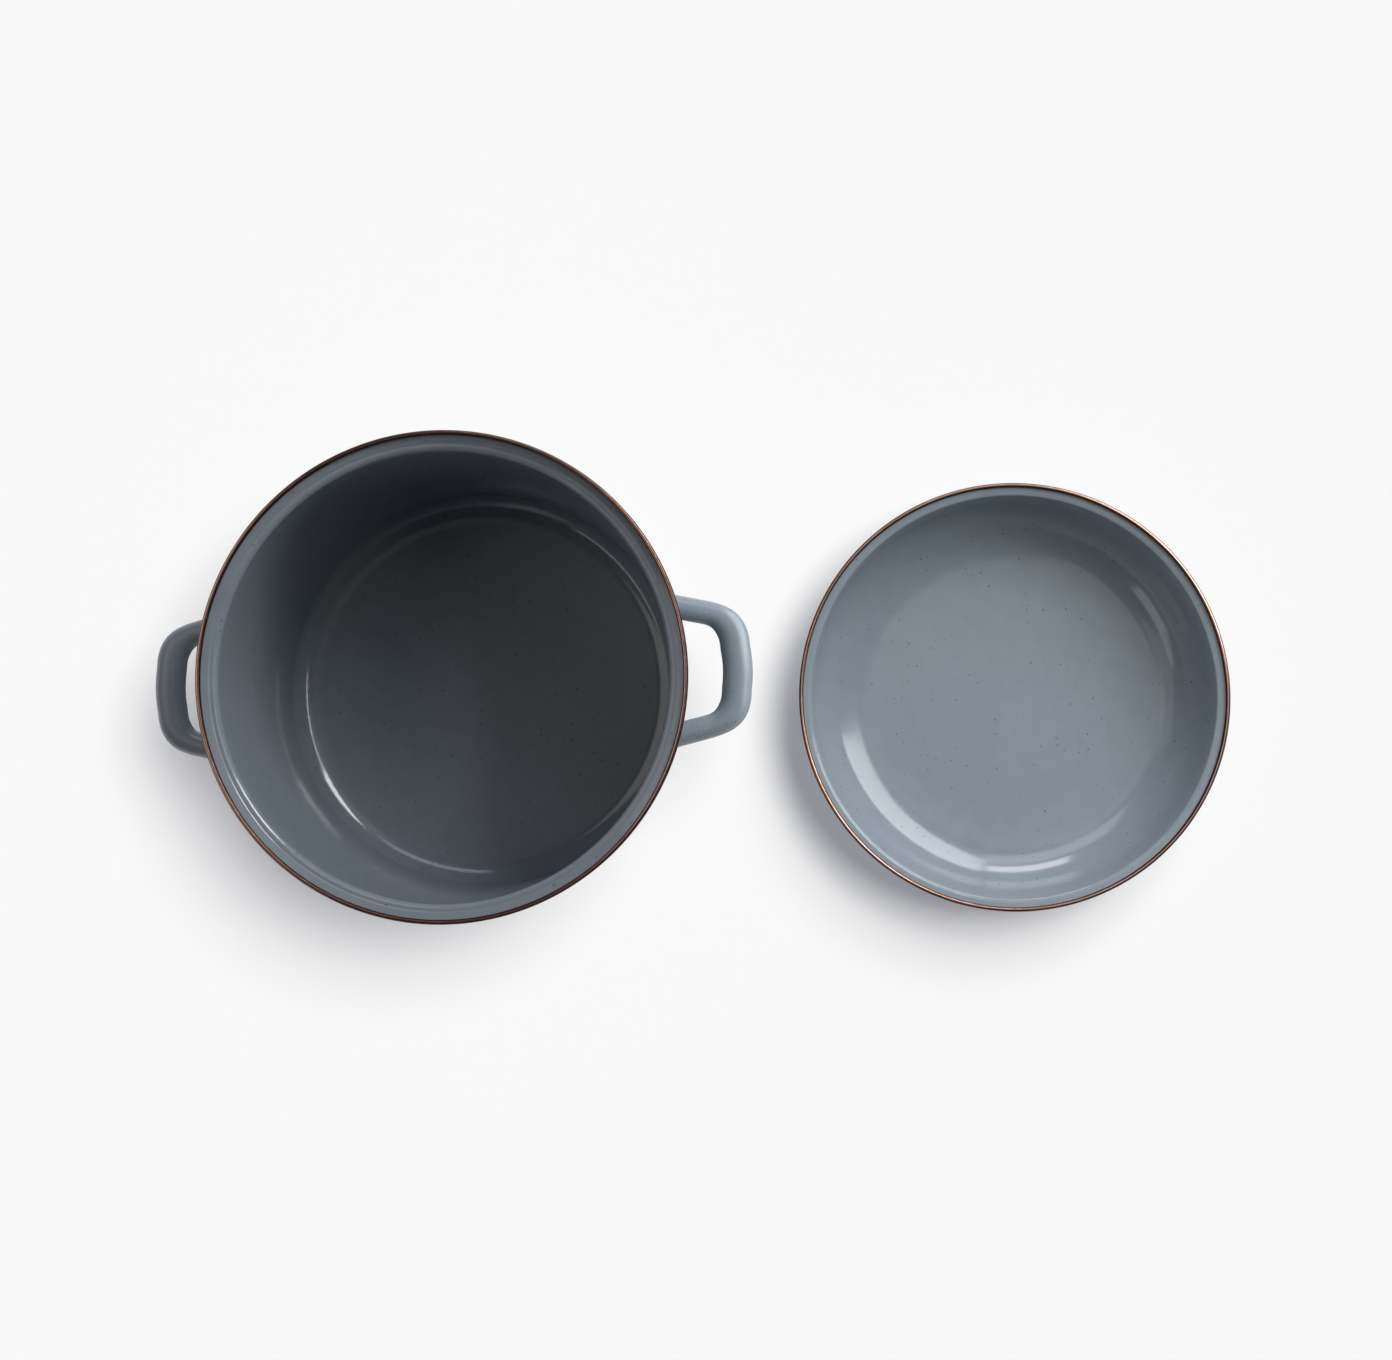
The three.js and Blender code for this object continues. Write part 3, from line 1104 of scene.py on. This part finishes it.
@dataclass
class Lid:
    """Drawn steel lid, as it stands dish side up beside the pot."""

    place: Point = (317.35, -18.0)
    sheet: float = 1.5
    rim_radius: float = 126.3
    height: float = 48.0
    lip_drop: float = 2.4
    lip_form: FlaredLip = FlaredLip(
        tilt=12.0, run=3.2, bead_radius=0.8, bead_end=36.0, dip_radius=1.0, dip_exit=10.0, roll_radius=1.62
    )
    cove_radius: float = 33.0
    wall_lean: float = 10.0
    floor_flat: float = 60.0
    floor_rise: float = 14.0
    floor_hub: float = 12.0
    base_radius: float = 84.06
    rub_full: float = 0.02
    rub_none: float = 0.9
    rub_width: float = 9.0
    steps: int = 240
    flat_steps: int = 5
    rise_steps: int = 16
    cove_steps: int = 30
    outside_steps: int = 24
    wall_steps: int = 4
    settlings: int = 6

    def band(self) -> RimBand:
        """The band on the lid's rim."""
        return RimBand(self.rim_radius, self.height, self.lip_drop, self.sheet)

    def lip(self) -> FlaredLip:
        """The lip, from the band's seat to the top of the wall."""
        return replace(self.lip_form, start=self.band().seat, roll_end=90.0 - self.wall_lean)

    def cove(self, height: float) -> Point:
        """Centre of the large bend from the floor to the wall.

        Args:
            height: its height.

        Returns:
            Its place, with the bend touching the wall.
        """
        lean = math.radians(self.wall_lean)
        top = self.lip().inside()[-1]
        foot = height - self.cove_radius * math.sin(lean)
        return (top[0] - (top[1] - foot) * math.tan(lean) - self.cove_radius * math.cos(lean), height)

    def floor(self) -> List[Point]:
        """The dish's inside, from the flat of its floor by a slow rise and the large bend to the wall.

        Returns:
            Its points, outwards.
        """
        rise = math.radians(self.floor_rise)
        lift, reach = 0.0, 0.0
        for _ in range(self.settlings):
            centre = self.cove(self.sheet + lift + self.cove_radius)
            reach = centre[0] + self.cove_radius * math.sin(rise) - self.floor_flat
            lift = rise * reach / 3 - self.cove_radius * (1 - math.cos(rise))
        slow = []
        for share in (step / self.rise_steps for step in range(self.rise_steps + 1)):
            slow.append((self.floor_flat + reach * share, self.sheet + rise * reach * share**3 / 3))
        centre = self.cove(self.sheet + lift + self.cove_radius)
        large = bend(centre, self.cove_radius, self.floor_rise - 90, -self.wall_lean, self.cove_steps)
        return strung(slow, large)

    def outline(self) -> List[Point]:
        """The dish's outline, from the middle of its base round the rim to the middle of its floor.

        Returns:
            Its points.
        """
        lip, edge = self.lip(), self.band().edge
        under, top = lip.underside(self.sheet, edge[0][0]), lip.inside()
        outer = self.sheet + self.cove_radius
        out = bend((self.base_radius, outer), outer, -90, -self.wall_lean, self.outside_steps)
        inside = self.floor()[::-1]
        return strung(
            [(0.0, 0.0)],
            straight((self.floor_hub, 0.0), (self.base_radius, 0.0), self.flat_steps),
            out,
            straight(out[-1], under[0], self.wall_steps),
            under,
            edge,
            top,
            straight(top[-1], inside[0], self.wall_steps),
            inside,
            straight((self.floor_flat, self.sheet), (self.floor_hub, self.sheet), self.flat_steps),
            [(0.0, self.sheet)],
        )

    def wear(self, point: Vector) -> float:
        """How rubbed the dish is: on the rim of the flat that it stands on."""
        near_rim = ease(math.hypot(point.x, point.y), self.base_radius - self.rub_width, self.base_radius)
        return (1.0 - ease(point.z, self.rub_full, self.rub_none)) * near_rim

    def build(self, enamel: Material, metal: Material) -> List[Piece]:
        """Makes and dresses the dish and its band.

        Args:
            enamel: the dish's finish.
            metal: the band's finish.

        Returns:
            The pieces.
        """
        dish = turned("lid_turned_dish", self.outline(), self.steps, loop=False)
        mark_wear_and_shade(dish, self.wear)
        band = self.band().build("lid_rim")
        for piece in (dish, band):
            piece.location = (self.place[0] * MM, self.place[1] * MM, 0.0)
        return [
            dress(dish, enamel, Body.LID, "lid_dish"),
            dress(band, metal, Body.LID, "lid_rim_band"),
        ]


# Studio


@dataclass(frozen=True)
class Panel:
    """A flat soft lamp, in metres. Its brightness is what a mirror would show of it, where 1 is white."""

    name: str
    place: Place
    aim: Place
    width: float
    tall: float
    brightness: Colour
    lit: Lit

    def build(self, groups: Dict[Lit, bpy.types.Collection]) -> Piece:
        """Makes the lamp.

        Args:
            groups: the pieces that a lamp can shine on.

        Returns:
            The lamp.
        """
        lamp = bpy.data.lights.new(self.name, "AREA")
        lamp.shape, lamp.size, lamp.size_y = "RECTANGLE", self.width, self.tall
        strongest = max(self.brightness)
        lamp.color = [part / strongest for part in self.brightness]
        lamp.energy = strongest * math.pi * self.width * self.tall
        holder = bpy.data.objects.new(self.name, lamp)
        holder.location = self.place
        holder.rotation_euler = (Vector(self.aim) - Vector(self.place)).to_track_quat("-Z", "Y").to_euler()
        bpy.context.scene.collection.objects.link(holder)
        holder.light_linking.receiver_collection = groups[self.lit]
        return holder


@dataclass(frozen=True)
class FloorSun:
    """A wide sun that lights the floor alone, so that what it can't pass leaves a soft shadow."""

    name: str
    tilt: float
    bearing: float
    spread: float
    share: float
    shaded_by: Lit
    tint: Colour = (1.0, 0.996, 0.948)

    def build(self, groups: Dict[Lit, bpy.types.Collection], albedo: float) -> Piece:
        """Makes the sun.

        Args:
            groups: the floor, and the pieces that can stand in the way.
            albedo: how much light the floor gives back.

        Returns:
            The lamp.
        """
        tilt, bearing = math.radians(self.tilt), math.radians(self.bearing)
        out = math.sin(tilt)
        towards = Vector((out * math.cos(bearing), out * math.sin(bearing), math.cos(tilt)))
        lamp = bpy.data.lights.new(self.name, "SUN")
        lamp.angle = math.radians(self.spread)
        lamp.color = self.tint
        lamp.energy = self.share * math.pi / (albedo * math.cos(tilt))
        holder = bpy.data.objects.new(self.name, lamp)
        holder.rotation_euler = (-towards).to_track_quat("-Z", "Y").to_euler()
        bpy.context.scene.collection.objects.link(holder)
        holder.light_linking.receiver_collection = groups[Lit.FLOOR]
        holder.light_linking.blocker_collection = groups[self.shaded_by]
        return holder


# Name, place, aim, width, height, brightness and what it shines on
PANELS = (
    Panel("bowl_window", (0.85, 0.89, 0.91), (0.0, 0.89, 0.91), 0.63, 0.78, (14.6, 14.7, 15.0), Lit.BOWL),
    Panel("bowl_window_edge", (0.85, 0.26, 1.1), (0.0, 0.26, 1.1), 0.64, 0.14, (8.0, 8.0, 8.0), Lit.BOWL),
    Panel("bowl_window_top", (0.85, 0.77, 1.75), (0.1, 0.2, 0.1), 1.2, 0.6, (0.66, 0.64, 0.65), Lit.BOWL),
    Panel("bowl_cool", (0.2, 1.6, 1.4), (0.0, 0.0, 0.1), 1.0, 0.5, (2.5, 2.45, 2.9), Lit.BOWL),
    Panel("bowl_fill", (-0.95, -0.5, 0.8), (0.0, 0.0, 0.1), 0.7, 0.3, (2.0, 1.9, 1.85), Lit.BOWL),
    Panel("bowl_top", (0.16, 0.0, 2.2), (0.16, 0.0, 0.0), 1.2, 1.2, (0.20, 0.17, 0.175), Lit.BOWL),
    Panel("pot_left", (-0.9, 0.2, 1.2), (0.1, 0.0, 0.1), 0.8, 0.8, (1.25, 1.15, 1.15), Lit.POT),
    Panel("handle_window", (0.85, 0.77, 0.77), (0.0, 0.77, 0.77), 1.43, 1.11, (5.7, 5.8, 5.95), Lit.HANDLES),
    Panel("handle_far", (0.0, 1.7, 1.3), (0.0, 0.0, 0.1), 1.4, 0.6, (2.6, 2.65, 2.95), Lit.HANDLES),
    Panel("handle_right", (1.2, -0.1, 0.9), (0.15, 0.0, 0.13), 0.8, 0.6, (2.9, 2.9, 3.0), Lit.HANDLES),
    Panel("handle_top", (0.0, 0.0, 2.2), (0.0, 0.0, 0.0), 1.6, 1.6, (0.45, 0.45, 0.47), Lit.HANDLES),
    Panel("lid_window", (0.85, 0.77, 0.77), (0.0, 0.77, 0.77), 1.36, 0.96, (7.0, 7.2, 7.35), Lit.LID),
    Panel("lid_cool", (0.455, 1.6, 0.66), (0.455, 0.0, 0.6), 0.79, 0.46, (8.5, 8.0, 9.0), Lit.LID),
    Panel("lid_far", (0.15, 1.75, 1.75), (0.3, 0.0, 0.05), 1.7, 0.85, (2.3, 2.3, 2.35), Lit.LID),
    Panel("lid_fill", (-0.88, -0.6, 0.75), (0.3, 0.0, 0.1), 0.8, 0.5, (1.7, 1.7, 1.8), Lit.LID),
    Panel("lid_left", (-1.1, 0.0, 1.7), (0.3, 0.0, 0.05), 1.4, 1.1, (0.6, 0.6, 0.6), Lit.LID),
    Panel("lid_top", (0.1, 0.2, 2.2), (0.3, 0.0, 0.0), 1.7, 1.7, (0.75, 0.75, 0.75), Lit.LID),
)
# Name, tilt, bearing, spread, share of the floor's light and what shades it
SUNS = (
    FloorSun("floor_sun", 23.0, 28.0, 28.0, 0.405, Lit.BOTH),
    FloorSun("floor_sun_by_pot", 23.0, 12.0, 20.0, 0.20, Lit.POT),
    FloorSun("floor_sun_by_lid", 40.0, 60.0, 32.0, 0.264, Lit.LID),
)
# Height above the horizon, where 1 is overhead, and colour
SKY = (
    (0.0, (0.945, 0.945, 0.95)),
    (0.05, (0.88, 0.88, 0.89)),
    (0.13, (0.58, 0.58, 0.60)),
    (0.21, (0.20, 0.20, 0.21)),
    (0.32, (0.05, 0.05, 0.053)),
    (0.5, (0.012, 0.012, 0.013)),
)


@dataclass
class Studio:
    """Plain pale floor, soft lamps, an even sky and the camera."""

    sensor: float = 36.0
    lens: float = 43.204
    clip: Point = (0.01, 100.0)
    camera_place: Place = (0.15838, -0.05254, 1.03463)
    camera_turn: Place = (2.90, 1.72, -2.11)
    floor_level: float = -0.2
    floor_rings: Tuple[float, ...] = (0.0, 300.0, 800.0, 2000.0, 6000.0, 30000.0)
    floor_steps: int = 64
    floor_albedo: float = 0.2
    floor_glow: Colour = (0.066, 0.069, 0.110)
    sky_stops: Tuple[Tuple[float, Colour], ...] = SKY
    panels: Tuple[Panel, ...] = PANELS
    suns: Tuple[FloorSun, ...] = SUNS

    def camera(self) -> None:
        """Sets the camera above the object, as in the photograph."""
        camera = bpy.data.cameras.new("view_from_above")
        camera.sensor_width, camera.lens = self.sensor, self.lens
        camera.clip_start, camera.clip_end = self.clip
        holder = bpy.data.objects.new("view_from_above", camera)
        holder.location = self.camera_place
        holder.rotation_euler = Euler([math.radians(turn) for turn in self.camera_turn])
        bpy.context.scene.collection.objects.link(holder)
        bpy.context.scene.camera = holder

    def sky(self) -> None:
        """Makes the even light all round: pale at the horizon and dimmer overhead."""
        world = bpy.data.worlds.new("soft_surround")
        bpy.context.scene.world = world
        world.use_nodes = True
        wire = Wiring(world.node_tree)
        where = wire.node("ShaderNodeTexCoord", {}).outputs["Generated"]
        up = wire.node("ShaderNodeSeparateXYZ", {0: where}).outputs[2]
        glow = wire.node("ShaderNodeBackground", {"Color": wire.ramp(up, self.sky_stops), "Strength": 1.0})
        wire.node("ShaderNodeOutputWorld", {"Surface": glow.outputs[0]})

    def floor(self) -> Piece:
        """Makes the pale floor.

        Returns:
            The floor.
        """
        outline = [(radius, self.floor_level) for radius in self.floor_rings]
        floor = turned("pale_floor", outline, self.floor_steps, loop=False)
        material = bpy.data.materials.new("pale_floor")
        material.use_nodes = True
        wire = Wiring(material.node_tree)
        albedo = (self.floor_albedo,) * 3
        matt = wire.node("ShaderNodeBsdfDiffuse", {"Color": (*albedo, 1.0)})
        glow = wire.node("ShaderNodeEmission", {"Color": (*self.floor_glow, 1.0), "Strength": 1.0})
        both = wire.node("ShaderNodeAddShader", {0: matt.outputs[0], 1: glow.outputs[0]})
        wire.node("ShaderNodeOutputMaterial", {"Surface": both.outputs[0]})
        floor.data.materials.append(material)
        return floor

    def build(self, bowl: Sequence[Piece], handles: Sequence[Piece], lid: Sequence[Piece]) -> None:
        """Sets the studio round the pieces.

        Args:
            bowl: the pot's shell and band.
            handles: its handles and their feet.
            lid: the lid's pieces.
        """
        self.camera()
        self.sky()
        members = {
            Lit.BOWL: bowl,
            Lit.HANDLES: handles,
            Lit.POT: [*bowl, *handles],
            Lit.LID: lid,
            Lit.BOTH: [*bowl, *handles, *lid],
            Lit.FLOOR: [self.floor()],
        }
        groups = {}
        for lit, pieces in members.items():
            groups[lit] = bpy.data.collections.new(lit.value)
            for piece in pieces:
                groups[lit].objects.link(piece)
        for panel in self.panels:
            panel.build(groups)
        for sun in self.suns:
            sun.build(groups, self.floor_albedo)
        bpy.context.scene.view_settings.view_transform = "Standard"


def main() -> None:
    """Builds the pot, its handles and its lid, then the studio."""
    logging.basicConfig(level=logging.INFO, format="%(name)s: %(message)s")
    enamel = EnamelFinish().material()
    satin_enamel = EnamelFinish(name="slate_enamel_handle", gloss=0.27, ripple=0.36).material()
    metal = RimMetalFinish().material()
    pot = Pot()
    bowl = pot.build(enamel, metal)
    handles = [piece for side in Side for piece in BowHandle(pot, side).build(satin_enamel)]
    lid = Lid().build(enamel, metal)
    Studio().build(bowl, handles, lid)


if __name__ == "__main__":
    main()
